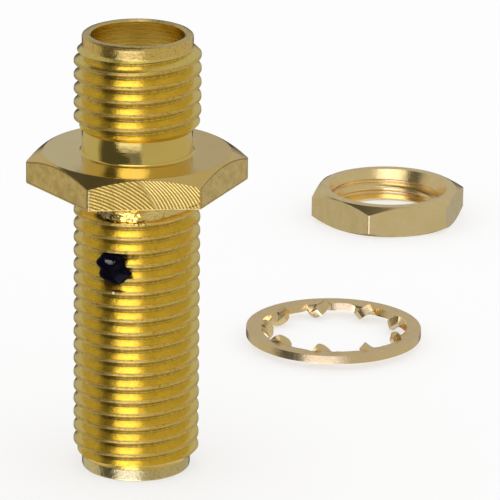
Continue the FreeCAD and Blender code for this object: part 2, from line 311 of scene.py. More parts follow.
def thread_rod(name, crest_r, root_r, crest_flat, crest_level, low, high):
    """A closed rod with a right-hand thread that covers the levels from low to high."""
    flank = (crest_r - root_r) * math.tan(THREAD_FLANK)
    start = crest_level + PITCH * (math.floor((low - crest_level) / PITCH) - 2) - PITCH / 2
    count = math.ceil((high - start) / PITCH) + 1
    piece = draw(name, [
        (root_r, start),
        (root_r, start + PITCH / 2 - crest_flat / 2 - flank),
        (crest_r, start + PITCH / 2 - crest_flat / 2),
        (crest_r, start + PITCH / 2 + crest_flat / 2),
        (root_r, start + PITCH / 2 + crest_flat / 2 + flank),
        (root_r, start + PITCH),
    ])
    apply_modifier(piece, "BEVEL", affect="VERTICES", width=THREAD_ROUND, segments=3, limit_method="NONE",
                   use_clamp_overlap=True)
    apply_modifier(piece, "ARRAY", count=count, use_relative_offset=False, use_constant_offset=True,
                   constant_offset_displace=(0, 0, PITCH), use_merge_vertices=True, merge_threshold=MERGE)
    for level in (start, start + count * PITCH):
        with editing(piece) as mesh:
            pick(piece, mesh, lambda vert: abs(vert.co.z - level) < MERGE, "VERT")
            bpy.ops.mesh.extrude_vertices_move(TRANSFORM_OT_translate={"value": (-root_r, 0, 0)})
    apply_modifier(piece, "SCREW", axis="Z", angle=2 * math.pi, screw_offset=PITCH, steps=ROUND_STEPS,
                   render_steps=ROUND_STEPS, use_merge_vertices=False, use_smooth_shade=False)
    with editing(piece):
        bpy.ops.mesh.select_all(action="SELECT")
        bpy.ops.mesh.remove_doubles(threshold=MERGE)
        bpy.ops.mesh.select_all(action="SELECT")
        bpy.ops.mesh.fill_holes(sides=0)
    close_shell(piece)
    return piece


def combine(piece, tool, operation):
    """Join, cut or keep the common part of two closed shells, and use the tool up."""
    apply_modifier(piece, "BOOLEAN", operation=operation, object=tool, solver="MANIFOLD")
    bpy.data.objects.remove(tool)
    if not piece.data.polygons:
        raise RuntimeError(f"{piece.name} is empty after {operation}")
    return piece


def hexagon_bar(name, flats, low, high):
    """A six-sided bar with two flats square to Y and broken edges."""
    bpy.ops.object.select_all(action="DESELECT")
    bpy.ops.mesh.primitive_cylinder_add(vertices=6, radius=flats / math.sqrt(3), depth=high - low,
                                        location=(0, 0, (low + high) / 2), rotation=(0, 0, math.pi / 2))
    piece = bpy.context.object
    piece.name = name
    bpy.ops.object.transform_apply(location=True, rotation=True, scale=True)
    apply_modifier(piece, "BEVEL", width=BAR_EDGE, segments=3, limit_method="ANGLE",
                   angle_limit=math.radians(40))
    return piece


def round_corner(r, level, edge, slope):
    """Three corners that round the edge between a flat face and a chamfer that falls by a slope."""
    drop = math.tan(slope)
    return [
        (r - edge, level),
        (r - edge * 0.25, level - edge * 0.25 * drop),
        (r + edge * 0.7, level - edge * 0.7 * drop - 0.001),
    ]


def quarter(r, level, width, height, start, end):
    """Five corners of a quarter round about a point of a section, between two angles in degrees."""
    angles = [math.radians(start + (end - start) * step / 4) for step in range(5)]
    return [(r + width * math.cos(angle), level + height * math.sin(angle)) for angle in angles]


def finish_piece(piece, slot, *nodes, smooth=math.radians(25)):
    """Clean and smooth a modelled piece, make it metres, and put it in the place of its CAD nodes."""
    with editing(piece):
        bpy.ops.mesh.select_all(action="SELECT")
        bpy.ops.mesh.remove_doubles(threshold=SLIVER)
        bpy.ops.mesh.dissolve_degenerate(threshold=SLIVER)
    take(piece)
    bpy.ops.object.shade_smooth_by_angle(angle=smooth)
    apply_modifier(piece, "WEIGHTED_NORMAL", mode="FACE_AREA", keep_sharp=True, weight=100,
                   thresh=ALIKE_AREA)
    piece.scale = (MM, MM, MM)
    bpy.ops.object.transform_apply(location=True, rotation=True, scale=True)
    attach(piece, "root")
    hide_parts(*nodes)
    return piece


def heading(azimuth, elevation):
    """A direction from degrees: to the right of the front, and up."""
    azimuth, elevation = math.radians(azimuth), math.radians(elevation)
    return Vector((math.sin(azimuth) * math.cos(elevation), -math.cos(azimuth) * math.cos(elevation),
                   math.sin(elevation)))


def dress(piece, *materials):
    """Give a piece its materials, the first on every face."""
    piece.data.materials.clear()
    for material in materials:
        piece.data.materials.append(material)


def paint_faces(piece, index, chosen):
    """Assign one of the piece's materials to the faces that a test chooses."""
    with editing(piece) as mesh:
        pick(piece, mesh, chosen)
        piece.active_material_index = index
        bpy.ops.object.material_slot_assign()


# Shader maths

class Field:
    """A socket of a node tree, so that shader maths reads as Python."""

    def __init__(self, nodes, socket):
        self.nodes = nodes
        self.socket = socket

    def maths(self, operation, *others):
        """One Math node on this value and others."""
        return self.nodes.add("ShaderNodeMath", {"operation": operation}, dict(enumerate((self, *others))))

    def __add__(self, other):
        return self.maths("ADD", other)

    def __sub__(self, other):
        return self.maths("SUBTRACT", other)

    def __mul__(self, other):
        return self.maths("MULTIPLY", other)

    def __truediv__(self, other):
        return self.maths("DIVIDE", other)

    def __pow__(self, other):
        return self.maths("POWER", other)

    def __rsub__(self, other):
        return (self * -1) + other

    def __neg__(self):
        return self * -1

    __radd__ = __add__
    __rmul__ = __mul__

    def over(self, edge, soft):
        """0 below an edge and 1 above it, with a smooth step as wide as soft."""
        return self.nodes.add("ShaderNodeMapRange", {"interpolation_type": "SMOOTHSTEP"},
                              {0: self, 1: edge - soft / 2, 2: edge + soft / 2, 3: 0.0, 4: 1.0})

    def between(self, low, high, soft):
        """1 from low to high and 0 outside, with smooth edges."""
        return self.over(low, soft) * (1 - self.over(high, soft))


class Nodes:
    """A node tree in the making."""

    def __init__(self, tree):
        tree.nodes.clear()
        self.tree = tree

    def add(self, kind, settings, values, output=0):
        """Add one node with its settings, and link or set its inputs."""
        node = self.tree.nodes.new(kind)
        for key, value in settings.items():
            setattr(node, key, value)
        for key, value in values.items():
            if isinstance(value, Field):
                self.tree.links.new(value.socket, node.inputs[key])
            else:
                node.inputs[key].default_value = value
        return Field(self, node.outputs[output]) if node.outputs else node

    def mix(self, share, first, second):
        """A colour between two colours."""
        return self.add("ShaderNodeMix", {"data_type": "RGBA"}, {0: share, 6: first, 7: second}, output=2)

    def noise(self, place, scale, detail=2.0, roughness=0.5):
        """Smooth noise over a place in millimetres, or over one length."""
        flat = "W" if isinstance(place, Field) and place.socket.type == "VALUE" else "Vector"
        return self.add("ShaderNodeTexNoise", {"noise_dimensions": "1D" if flat == "W" else "3D"},
                        {flat: place, "Scale": scale, "Detail": detail, "Roughness": roughness})

    def bump(self, height, strength, reach):
        """A normal bent by a height in millimetres."""
        return self.add("ShaderNodeBump", {}, {"Strength": strength, "Distance": reach, "Height": height})

    def place(self):
        """The place on the piece in millimetres, as a vector and as its three coordinates."""
        spot = self.add("ShaderNodeTexCoord", {}, {}, output="Object")
        spot = self.add("ShaderNodeVectorMath", {"operation": "SCALE"}, {0: spot, "Scale": 1 / MM})
        parts = [self.add("ShaderNodeSeparateXYZ", {}, {0: spot}, output=axis) for axis in ("X", "Y", "Z")]
        return (spot, *parts)


def new_material(name):
    """A material with an empty node tree."""
    material = bpy.data.materials.new(name)
    material.use_nodes = True
    return material, Nodes(material.node_tree)


def shade(nodes, **values):
    """End a material in one Principled shader."""
    shader = nodes.add("ShaderNodeBsdfPrincipled", {}, values)
    nodes.add("ShaderNodeOutputMaterial", {}, {"Surface": shader})


# Colours of the finishes and of the light

GOLD = (0.88, 0.62, 0.18, 1)
PALE_GOLD = (0.86, 0.66, 0.27, 1)
NOSE_GOLD = (0.90, 0.61, 0.15, 1)
RIM_GOLD = (0.74, 0.58, 0.23, 1)
NECK_GOLD = (0.88, 0.65, 0.16, 1)
PLATE_GOLD = (0.86, 0.70, 0.32, 1)
PLATE_SHADE = (0.78, 0.57, 0.20, 1)
BRIGHT_GOLD = (0.90, 0.74, 0.32, 1)
DEEP_GOLD = (0.91, 0.71, 0.19, 1)
CREST_GOLD = (0.80, 0.56, 0.13, 1)
FRONT_GOLD = (0.96, 0.69, 0.17, 1)
BORE_GOLD = (0.75, 0.55, 0.09, 1)
VALLEY_GOLD = (0.45, 0.28, 0.04, 1)
NUT_GOLD = (1.0, 0.78, 0.38, 1)
WASHER_GOLD = (0.93, 0.70, 0.36, 1)
EDGE_HIGHLIGHT_GOLD = (0.90, 0.72, 0.32, 1)
TORN_GOLD = (0.83, 0.56, 0.12, 1)
BROWN = (0.20, 0.12, 0.02, 1)
SHADE_BLACK = (0.05, 0.04, 0.02, 1)
GLINT_WHITE = (1.0, 0.92, 0.74, 1)
BLACK = (0.001, 0.001, 0.003, 1)
BLACK_SHEEN = (0.003, 0.002, 0.005, 1)
MILK_WHITE = (0.86, 0.86, 0.83, 1)
CREAM_WHITE = (0.92, 0.92, 0.90, 1)
FLOOR_WHITE = (0.985, 0.985, 0.985, 1)
PLAIN_LIGHT = (1, 1, 1, 1)
WINDOW_LIGHT = (0.97, 1.02, 1.5, 1)


# Materials

def from_axis(x, y):
    """How far a place lies from the adapter's axis."""
    return (x * x + y * y) ** 0.5


def turned_gold(name):
    """Bright plating on the turned outside: fine rings, deep yellow grooves and worn, rough crests."""
    material, nodes = new_material(name)
    spot, x, y, z = nodes.place()
    radius = from_axis(x, y)

    # Parts of the body
    threaded = z.between(LONG_END + NOSE_LEN, -1.15, 0.2) + z.between(NECK_TOP, SHORT_END - NOSE_LEN, 0.1)
    nose = z.over(SHORT_END - NOSE_LEN, 0.1)
    foot = 1 - z.over(LONG_END + NOSE_LEN, 0.1)
    neck = z.between(HEX_HEIGHT + 0.02, NECK_TOP, 0.04)
    plate = z.between(HEX_HEIGHT - 0.02, HEX_HEIGHT + 0.03, 0.02) * radius.over(NECK_R + 0.13, 0.05)
    crest = threaded * radius.over(CREST_R - 0.02, 0.03)
    root = threaded * (1 - radius.over(ROOT_R + 0.03, 0.05))
    groove = threaded * (1 - radius.over(CREST_R - 0.06, 0.04))

    # Texture of the plating
    rings = nodes.noise(z + radius, 9.0, 3.0, 0.6)
    haze = nodes.noise(spot, 0.9, 3.0, 0.6)
    nicks = nodes.noise(spot, 6.0, 3.0, 0.6)
    grit = nodes.noise(spot, 9.0, 2.0, 0.6)
    smear = nodes.add("ShaderNodeVectorMath", {"operation": "MULTIPLY"}, {0: spot, 1: (1.0, 1.0, 3.0)})
    flakes = nodes.noise(smear, 3.0, 2.0, 0.6)

    def mark(left, right, low, high, side_soft=0.2, level_soft=0.1):
        """1 on one small part of the front, faded out at its sides."""
        return (-y).over(1.5, 0.2) * x.between(left, right, side_soft) * z.between(low, high, level_soft)

    # Torn first turn, with painted shade as dark patches on and below it; lower down a brown patch, a
    # scratch and a painted glint
    torn_turn = (-y).over(1.2, 0.4) * z.between(-1.2, -0.3, 0.1) * radius.over(2.98, 0.05)
    lit_turn = torn_turn * x.between(-1.5, 0.2, 0.5)
    torn_spot = mark(-2.2, -1.3, -1.2, -0.65, 0.25, 0.2)
    torn = torn_spot * grit.over(0.4, 0.3)
    painted_shade_specks = mark(-0.35, 0.3, -1.3, -1.0) * grit.over(0.52, 0.1)
    brown_patch = mark(-1.75, -0.95, -4.85, -4.3, level_soft=0.2) * grit.over(0.33, 0.2)
    scratch = mark(-0.75, -0.15, -3.15, -2.95) * grit.over(0.4, 0.2)
    painted_glint = nodes.add("ShaderNodeVectorMath", {"operation": "DISTANCE"}, {0: spot, 1: GLINT_PLACE},
                      output="Value")
    painted_glint = 1 - painted_glint.over(GLINT_R, 0.06)

    # Each part's colour, then dirt, painted shade and a painted glint on it
    colour = nodes.mix(haze.over(0.5, 0.6) * 0.4, GOLD, PALE_GOLD)
    colour = nodes.mix(nose * 0.9, colour, NOSE_GOLD)
    colour = nodes.mix(z.over(SHORT_END - 0.07, 0.06), colour, RIM_GOLD)
    under = z.between(-1.0, 0.05, 0.1) * 0.4
    colour = nodes.mix(foot.maths("MAXIMUM", under), colour, BRIGHT_GOLD)
    # Painted shade: the foot's nose darker to the right of the front
    colour = nodes.mix(foot * x.over(0.3, 0.6), colour, RIM_GOLD)
    colour = nodes.mix(neck, colour, NECK_GOLD)
    # Painted shade: the hexagon's top face darker towards the right
    colour = nodes.mix(plate, colour, nodes.mix(x.over(1.0, 7.0), PLATE_GOLD, PLATE_SHADE))
    colour = nodes.mix(groove, colour, DEEP_GOLD)
    colour = nodes.mix(groove * nicks.over(0.56, 0.2) * 0.12, colour, BROWN)
    colour = nodes.mix(crest, colour, CREST_GOLD)
    colour = nodes.mix(root * (0.1 + grit.over(0.5, 0.3) * 0.35), colour, BROWN)
    colour = nodes.mix((crest + nose * 0.65 + foot * 0.5) * grit.over(0.6, 0.2) * 0.6, colour, BROWN)
    # A brown patch on the thread below the epoxy
    colour = nodes.mix(brown_patch * 0.65, colour, BROWN)
    colour = nodes.mix(scratch * 0.7, colour, BROWN)
    colour = nodes.mix(lit_turn * 0.9, colour, TORN_GOLD)
    # Painted shade: near-black patches at the torn turn's left end and below its middle
    colour = nodes.mix(torn.maths("MAXIMUM", painted_shade_specks) * 0.85, colour, SHADE_BLACK)
    # Painted glint: a white dot on the thread in place of a highlight
    colour = nodes.mix(painted_glint, colour, GLINT_WHITE)

    # Fine relief; the neck's last part leans out towards the plate
    flare = (NECK_TOP - LAP - z).maths("MAXIMUM", 0.0).maths("MINIMUM", 1.0)
    flaked = torn_turn * (1 - torn_spot * 0.7) * flakes
    height = flaked * 0.05 + rings * 0.003 + nicks * 0.006 + haze * 0.02 + crest * grit * 0.02
    height = height + (nose + foot) * (nicks * 0.008 + grit * 0.006) + flare * flare * 0.15
    shade(nodes, **{
        "Base Color": colour,
        "Metallic": 1 - painted_glint,
        "Roughness": (haze * 0.14 + rings * 0.05 + crest * 0.12 + threaded * 0.04 + nose * 0.07 + 0.08
                      - neck * 0.06 + foot * 0.03 - torn_turn * 0.08),
        "Normal": nodes.bump(height, 1.0, MM),
    })
    return material


def bored_gold(name):
    """Plating inside the bores: deeper turning marks and a duller gloss."""
    material, nodes = new_material(name)
    spot, x, y, z = nodes.place()
    radius = from_axis(x, y)
    rings = nodes.noise(z + radius, 7.0, 3.0, 0.7)
    haze = nodes.noise(spot, 0.8, 2.0, 0.5)
    shade(nodes, **{
        "Base Color": nodes.mix(rings * 0.6, BORE_GOLD, GOLD),
        "Metallic": 1.0,
        "Roughness": rings * 0.2 + haze * 0.1 + 0.12,
        "Normal": nodes.bump(rings * 0.012 + haze * 0.02, 1.0, MM),
    })
    return material


def milled_gold(name):
    """Plated hexagon flats with the cutter's arcs, deepest on the front flat, with painted shade along the
    edges and a painted highlight on one.
    """
    material, nodes = new_material(name)
    spot, x, y, z = nodes.place()
    radius = from_axis(x, y)
    half_width = HEX_FLATS / 2 * math.tan(math.pi / 6)
    sixth = y.maths("ARCTAN2", x) / (math.pi / 3)
    turn_in_flat = (sixth - sixth.maths("FLOOR") - 0.5) * (math.pi / 3)
    across = radius * turn_in_flat.maths("SINE")
    front = (-y).over(HEX_FLATS / 2 - 0.06, 0.04)
    uneven = nodes.noise(spot, 1.6, 2.0, 0.5)
    fine = nodes.noise(spot, 14.0, 2.0, 0.6)
    smudge = nodes.noise(spot, 2.2, 3.0, 0.7)

    def waves(reach, spacing):
        """Marks that follow one another at a spacing: 1 on a ridge and 0 in a valley."""
        return ((reach + uneven * 0.03 + fine * 0.03) * (2 * math.pi / spacing)).maths("SINE") * 0.5 + 0.5

    # Two sets of arcs that meet at a worn, slanting seam
    left = waves(((across + CUTTER_LEFT) ** 2 + (z + CUTTER_BELOW) ** 2) ** 0.5, LEFT_SPACING)
    right = waves(across + z * 0.327 + z * z * 0.264, RIGHT_SPACING)
    seam = across + z * 0.565 - 0.72 + uneven * 0.1
    worn = seam.between(-0.12, 0.1, 0.16) * 0.75
    lines = nodes.add("ShaderNodeMix", {}, {0: seam.over(0, 0.1), 2: left, 3: right})
    depth = (1 - worn) * (front * 0.85 + 0.15)
    valleys = (1 - lines) * depth
    near_left = (1 - seam.over(0.1, 0.4)) * front

    # Painted highlight, on a rougher strip, at the front flat's left corner; painted shade as dark lines at
    # the other flats' edges; and a short gouge on the front flat
    edge = (-across).over(half_width - 0.07, 0.03) * (-y).over(HEX_FLATS / 2 - 0.12, 0.06)
    edge = edge * (1 - x.over(0, 1))
    under_chamfer = HEX_HEIGHT - (radius - HEX_CHAMFER_R) * math.tan(HEX_CHAMFER_SLOPE) - z
    painted_edge_shade = across.maths("ABSOLUTE").over(half_width - 0.12, 0.06)
    painted_edge_shade = painted_edge_shade.maths("MAXIMUM", 1 - under_chamfer.over(0.08, 0.05))
    painted_edge_shade = painted_edge_shade.maths("MAXIMUM", 1 - z.over(0.13, 0.05))
    gouge = (z - x * 0.33 + 0.575).between(-0.03, 0.03, 0.04) * x.between(2.15, 2.6, 0.15) * front

    colour = nodes.mix(uneven.over(0.5, 0.4) * 0.3, GOLD, PALE_GOLD)
    colour = nodes.mix((1 - front) * smudge.over(0.5, 0.3) * 0.3, colour, BROWN)
    # Painted shade: dark lines along the other flats' edges
    colour = nodes.mix(painted_edge_shade * (1 - front) * 0.6, colour, BROWN)
    colour = nodes.mix(front * 0.6, colour, FRONT_GOLD)
    colour = nodes.mix(valleys * (near_left * 0.15 + 0.65), colour, VALLEY_GOLD)
    colour = nodes.mix(near_left * 0.33, colour, VALLEY_GOLD)
    # Painted highlight: a pale line at the front flat's left edge
    colour = nodes.mix(edge, colour, EDGE_HIGHLIGHT_GOLD)
    colour = nodes.mix(gouge * 0.8, colour, BROWN)
    height = lines * depth * 0.008 + fine * 0.006 + uneven * 0.02
    shade(nodes, **{
        "Base Color": colour,
        "Metallic": 1.0,
        "Roughness": fine * 0.08 + (1 - front) * 0.08 + edge * 0.25 + 0.13,
        "Normal": nodes.bump(height, 1.0, MM),
    })
    return material


def satin_gold(name, colour, roughness):
    """Plating on a tumbled small piece: soft grain and slightly uneven colour."""
    material, nodes = new_material(name)
    spot = nodes.place()[0]
    grain = nodes.noise(spot, 16.0, 3.0, 0.6)
    cloud = nodes.noise(spot, 1.3, 3.0, 0.6)
    shade(nodes, **{
        "Base Color": nodes.mix(cloud.over(0.5, 0.5) * 0.3, colour, GOLD),
        "Metallic": 1.0,
        "Roughness": grain * 0.1 + (roughness - 0.05),
        "Normal": nodes.bump(grain * 0.006 + cloud * 0.02, 1.0, MM),
    })
    return material


def gleam(piece):
    """A small lamp, to the left in front, that shines on the epoxy alone."""
    way = heading(GLEAM_AZIMUTH, GLEAM_ELEVATION)
    spot = Vector((0, 0, MIDDLE * MM)) + way * GLEAM_DISTANCE
    bpy.ops.object.light_add(type="AREA", location=spot, rotation=way.to_track_quat("Z", "Y").to_euler())
    lamp = bpy.context.object
    lamp.data.size = GLEAM_SIZE
    lamp.data.energy = GLEAM_POWER
    lit = bpy.data.collections.new("lit_by_gleam")
    lit.objects.link(piece)
    lamp.light_linking.receiver_collection = lit


def black_epoxy():
    """Glossy black epoxy that reflects little but its lamp."""
    material, nodes = new_material("black_epoxy")
    spot = nodes.place()[0]
    swirl = nodes.noise(spot, 2.5, 2.0, 0.5)
    shade(nodes, **{
        "Base Color": nodes.mix(swirl, BLACK, BLACK_SHEEN),
        "Roughness": swirl * 0.06 + 0.06,
        "Specular IOR Level": 0.045,
        "Normal": nodes.bump(swirl * 0.02, 1.0, MM),
    })
    return material


def white_plastic():
    """The insulator's turned, waxy plastic."""
    material, nodes = new_material("white_plastic")
    spot, x, y, _ = nodes.place()
    radius = from_axis(x, y)
    rings = nodes.noise(radius, 14.0, 2.0, 0.5)
    cloud = nodes.noise(spot, 1.2, 2.0, 0.5)
    shade(nodes, **{
        "Base Color": nodes.mix(cloud, MILK_WHITE, CREAM_WHITE),
        "Roughness": cloud * 0.1 + 0.42,
        "Subsurface Weight": 0.15,
        "Subsurface Scale": 0.4 * MM,
        "Normal": nodes.bump(rings * 0.01, 1.0, MM),
    })
    return material


# Pieces

def burr():
    """A torn burr below the hexagon's front: a short rib, thinned out at both ends and crumpled."""
    rib = draw("burr", [*BURR_OUTLINE, BURR_OUTLINE[0]])
    rib.rotation_euler = (0, 0, math.radians(BURR_FROM - 90))
    take(rib)
    bpy.ops.object.transform_apply(rotation=True)
    sweep = math.radians(BURR_TO - BURR_FROM)
    with editing(rib):
        bpy.ops.mesh.select_all(action="SELECT")
        bpy.ops.mesh.remove_doubles(threshold=MERGE)
        bpy.ops.mesh.select_all(action="SELECT")
        bpy.ops.mesh.spin(steps=BURR_STEPS, angle=sweep, center=(0, 0, 0), axis=(0, 0, -1))
        bpy.ops.mesh.select_all(action="SELECT")
        bpy.ops.mesh.fill_holes(sides=0)
    close_shell(rib)
    with editing(rib) as mesh:
        for vert in mesh.verts:
            share = (math.degrees(math.atan2(vert.co.x, -vert.co.y)) - BURR_FROM) / (BURR_TO - BURR_FROM)
            fade = min(1, (1 - share) / BURR_FADE)
            height = min(1, share * BURR_RISE + BURR_START, fade * fade * (3 - 2 * fade))
            r = vert.co.xy.length
            if r > BURR_FOOT_R:
                vert.co.xy *= (BURR_FOOT_R + (r - BURR_FOOT_R) * height) / r
        bpy.ops.mesh.select_all(action="SELECT")
        bpy.ops.transform.vertex_random(offset=BURR_CRUMPLE, uniform=0.6, normal=0.4, seed=7)
    apply_modifier(rib, "SUBSURF", levels=2, render_levels=2)
    return rib


def on_flat(face):
    """Whether a face of the body lies on one of the hexagon's flats."""
    return abs(face.normal.z) < 0.05 and face.calc_center_median().xy.length > HEX_FLATS / 2 - 0.1


def in_bore(face):
    """Whether a face of the body lies inside its bores."""
    inside = MOUTH_R + PROUD
    return (face.calc_center_median().xy.length < inside
            and max(vert.co.xy.length for vert in face.verts) < inside)


def adapter_body():
    """The one turned piece, with both threads, the milled hexagon, the bores and the cross hole."""
    short_shoulder = SHORT_END - NOSE_LEN
    long_shoulder = LONG_END + NOSE_LEN
    short_face = SHORT_END - MOUTH_DEPTH
    long_face = LONG_END + MOUTH_DEPTH
    core = turn("threaded_adapter", [
        (MOUTH_R + MOUTH_EDGE, SHORT_END),
        *quarter(SHORT_NOSE_R - RIM_WIDTH, SHORT_END - RIM_HEIGHT, RIM_WIDTH, RIM_HEIGHT, 90, 0),
        (SHORT_NOSE_R, short_shoulder - LAP),
        (CORE_R, short_shoulder - CORE_LAP),
        (CORE_R, NECK_TOP + CORE_LAP),
        (NECK_R, NECK_TOP + LAP),
        *quarter(NECK_R + NECK_FILLET, HEX_HEIGHT - NECK_FILLET_SINK + NECK_FILLET, NECK_FILLET, NECK_FILLET,
                 180, 270),
        (NECK_R + NECK_FILLET, HEX_HEIGHT - PLATE_LAP),
        (RELIEF_R, HEX_HEIGHT - RELIEF_LAP),
        (RELIEF_R, -RELIEF_LEN - RUN_OUT_START),
        (ROOT_R + PROUD, -RELIEF_LEN - RUN_OUT_LEN),
        (CORE_R, -RELIEF_LEN - RUN_OUT_LEN - RUN_OUT_STEP),
        (CORE_R, long_shoulder + CORE_LAP),
        (LONG_NOSE_R, long_shoulder + LAP),
        (LONG_NOSE_R, LONG_END + NOSE_EDGE),
        (LONG_NOSE_R - NOSE_EDGE * 0.13, LONG_END + NOSE_EDGE * 0.5),
        (LONG_NOSE_R - NOSE_EDGE * 0.5, LONG_END + NOSE_EDGE * 0.13),
        (LONG_NOSE_R - NOSE_EDGE, LONG_END),
        (MOUTH_R + MOUTH_EDGE, LONG_END),
        (MOUTH_R, LONG_END + MOUTH_EDGE),
        (MOUTH_R, long_face),
        (SEAT_R, long_face),
        (SEAT_R, short_face),
        (MOUTH_R, short_face),
        (MOUTH_R, SHORT_END - MOUTH_EDGE),
    ])
    clear = CREST_R + LAP
    for name, level, high, low, high_r, low_r in (
            ("short_thread", SHORT_CREST_LEVEL, short_shoulder, NECK_TOP, SHORT_NOSE_R, NECK_R),
            ("long_thread", LONG_CREST_LEVEL, -RELIEF_LEN, long_shoulder, RELIEF_R + PROUD, LONG_NOSE_R)):
        barrel = turn(name, [
            (SHELL_R, high),
            (high_r, high),
            (clear, high - (clear - high_r)),
            (clear, low + (clear - low_r)),
            (low_r, low),
            (SHELL_R, low),
        ])
        rod = thread_rod(f"{name}_rod", CREST_R, ROOT_R, CREST_FLAT, level, low, high)
        combine(barrel, rod, "INTERSECT")
        combine(core, barrel, "UNION")
    blank = turn("hexagon", [
        (SHELL_R, HEX_HEIGHT),
        *round_corner(HEX_CHAMFER_R, HEX_HEIGHT, EDGE, HEX_CHAMFER_SLOPE),
        (HEX_CHAMFER_R + BLANK_REACH, HEX_HEIGHT - BLANK_REACH * math.tan(HEX_CHAMFER_SLOPE)),
        (HEX_CHAMFER_R + BLANK_REACH, -OVERCUT),
        (SHELL_R, -OVERCUT),
    ])
    combine(blank, hexagon_bar("hexagon_bar", HEX_FLATS, 0, HEX_HEIGHT + OVERCUT), "INTERSECT")
    combine(core, blank, "UNION")
    combine(core, burr(), "UNION")
    bpy.ops.object.select_all(action="DESELECT")
    bpy.ops.mesh.primitive_cylinder_add(vertices=DRILL_STEPS, radius=PLUG_HOLE_R, depth=DRILL_LEN,
                                        location=PLUG_OUTWARD * DRILL_LEN + Vector((0, 0, MIDDLE)),
                                        rotation=PLUG_OUTWARD.to_track_quat("Z", "Y").to_euler())
    drill = bpy.context.object
    bpy.ops.object.transform_apply(location=True, rotation=True, scale=True)
    combine(core, drill, "DIFFERENCE")
    dress(core, turned_gold("plated_turning"), milled_gold("milled_flats"), bored_gold("bore_plating"))
    paint_faces(core, 1, on_flat)
    paint_faces(core, 2, in_bore)
    return finish_piece(core, "plated_body", "adapter_body")


def epoxy_blob():
    """The drop of epoxy that fills the cross hole and stands in the thread around it."""
    bpy.ops.object.select_all(action="DESELECT")
    bpy.ops.mesh.primitive_circle_add(vertices=len(EPOXY_OUTLINE), radius=1, fill_type="NGON")
    piece = bpy.context.object
    piece.name = "epoxy_drop"
    for vert, (across, level) in zip(piece.data.vertices, EPOXY_OUTLINE):
        vert.co = (across, level, 0)
    with editing(piece):
        bpy.ops.mesh.select_all(action="SELECT")
        for rise, kept in EPOXY_LAYERS:
            bpy.ops.mesh.extrude_region_move(TRANSFORM_OT_translate={"value": (0, 0, rise)})
            bpy.ops.transform.resize(value=(kept, kept, 1), center_override=(0, 0, 0))
        bpy.ops.mesh.inset(thickness=EPOXY_INSET)
    close_shell(piece)
    apply_modifier(piece, "SUBSURF", levels=2, render_levels=2)
    piece.rotation_mode = "QUATERNION"
    piece.rotation_quaternion = PLUG_OUTWARD.to_track_quat("Z", "Y")
    piece.location = PLUG_OUTWARD * (CREST_R - EPOXY_FOOT) + Vector((0, 0, MIDDLE))
    bpy.ops.object.transform_apply(location=True, rotation=True, scale=True)
    dress(piece, black_epoxy())
    return finish_piece(piece, "black_epoxy", "epoxy_plug", smooth=math.radians(80))


def panel_nut():
    """The nut: turned blank of hexagon bar, chamfered on both faces, countersunk and tapped."""
    top = round_corner(NUT_CHAMFER_R, NUT_HEIGHT, EDGE, NUT_CHAMFER_SLOPE)
    foot = [(r, NUT_HEIGHT - level) for r, level in reversed(top)]
    reach = NUT_HEIGHT / 2 / math.tan(NUT_CHAMFER_SLOPE)
    piece = turn("panel_nut", [
        (0, NUT_HEIGHT),
        *top,
        (NUT_CHAMFER_R + reach, NUT_HEIGHT / 2),
        *foot,
        (0, 0),
    ])
    combine(piece, hexagon_bar("nut_bar", NUT_FLATS, -OVERCUT, NUT_HEIGHT + OVERCUT), "INTERSECT")
    tap = thread_rod("tap", NUT_THREAD_R, NUT_BORE_R, CREST_FLAT, NUT_CREST_LEVEL, -TAP_REACH,
                     NUT_HEIGHT + TAP_REACH)
    combine(piece, tap, "DIFFERENCE")
    slope = (NUT_SINK_R - NUT_BORE_R) / NUT_SINK_DEPTH
    sink = turn("countersink", [
        (0, NUT_HEIGHT + NUT_CUT),
        (NUT_SINK_R + NUT_CUT * slope + NUT_SINK_LIP, NUT_HEIGHT + NUT_CUT),
        (NUT_SINK_R, NUT_HEIGHT - NUT_SINK_LIP),
        (NUT_BORE_R, NUT_HEIGHT - NUT_SINK_DEPTH),
        (0, NUT_HEIGHT - NUT_SINK_DEPTH - NUT_SINK_TIP),
    ])
    combine(piece, sink, "DIFFERENCE")
    foot_cut = turn("foot_edge", [
        (0, NUT_FOOT_EDGE + NUT_CUT),
        (NUT_BORE_R - NUT_CUT, NUT_FOOT_EDGE + NUT_CUT),
        (NUT_BORE_R + NUT_FOOT_EDGE + NUT_CUT, -NUT_CUT),
        (0, -NUT_CUT),
    ])
    combine(piece, foot_cut, "DIFFERENCE")
    centre = (NUT_LOW + NUT_HIGH) / 2
    piece.rotation_euler = (0, 0, NUT_TURN)
    piece.location = (centre.x, centre.y, NUT_LOW.z)
    take(piece)
    bpy.ops.object.transform_apply(location=True, rotation=True, scale=True)
    dress(piece, satin_gold("nut_plating", NUT_GOLD, 0.22))
    return finish_piece(piece, "plated_nut", "hex_nut")


def on_tooth_root(edge):
    """Whether an edge of the sector lies where its tooth grows from the ring."""
    return all(abs(vert.co.xy.length - WASHER_ROOT_R) < TOUCH and abs(vert.co.y) < TOOTH_ROOT_HALF + TOUCH
               for vert in edge.verts)


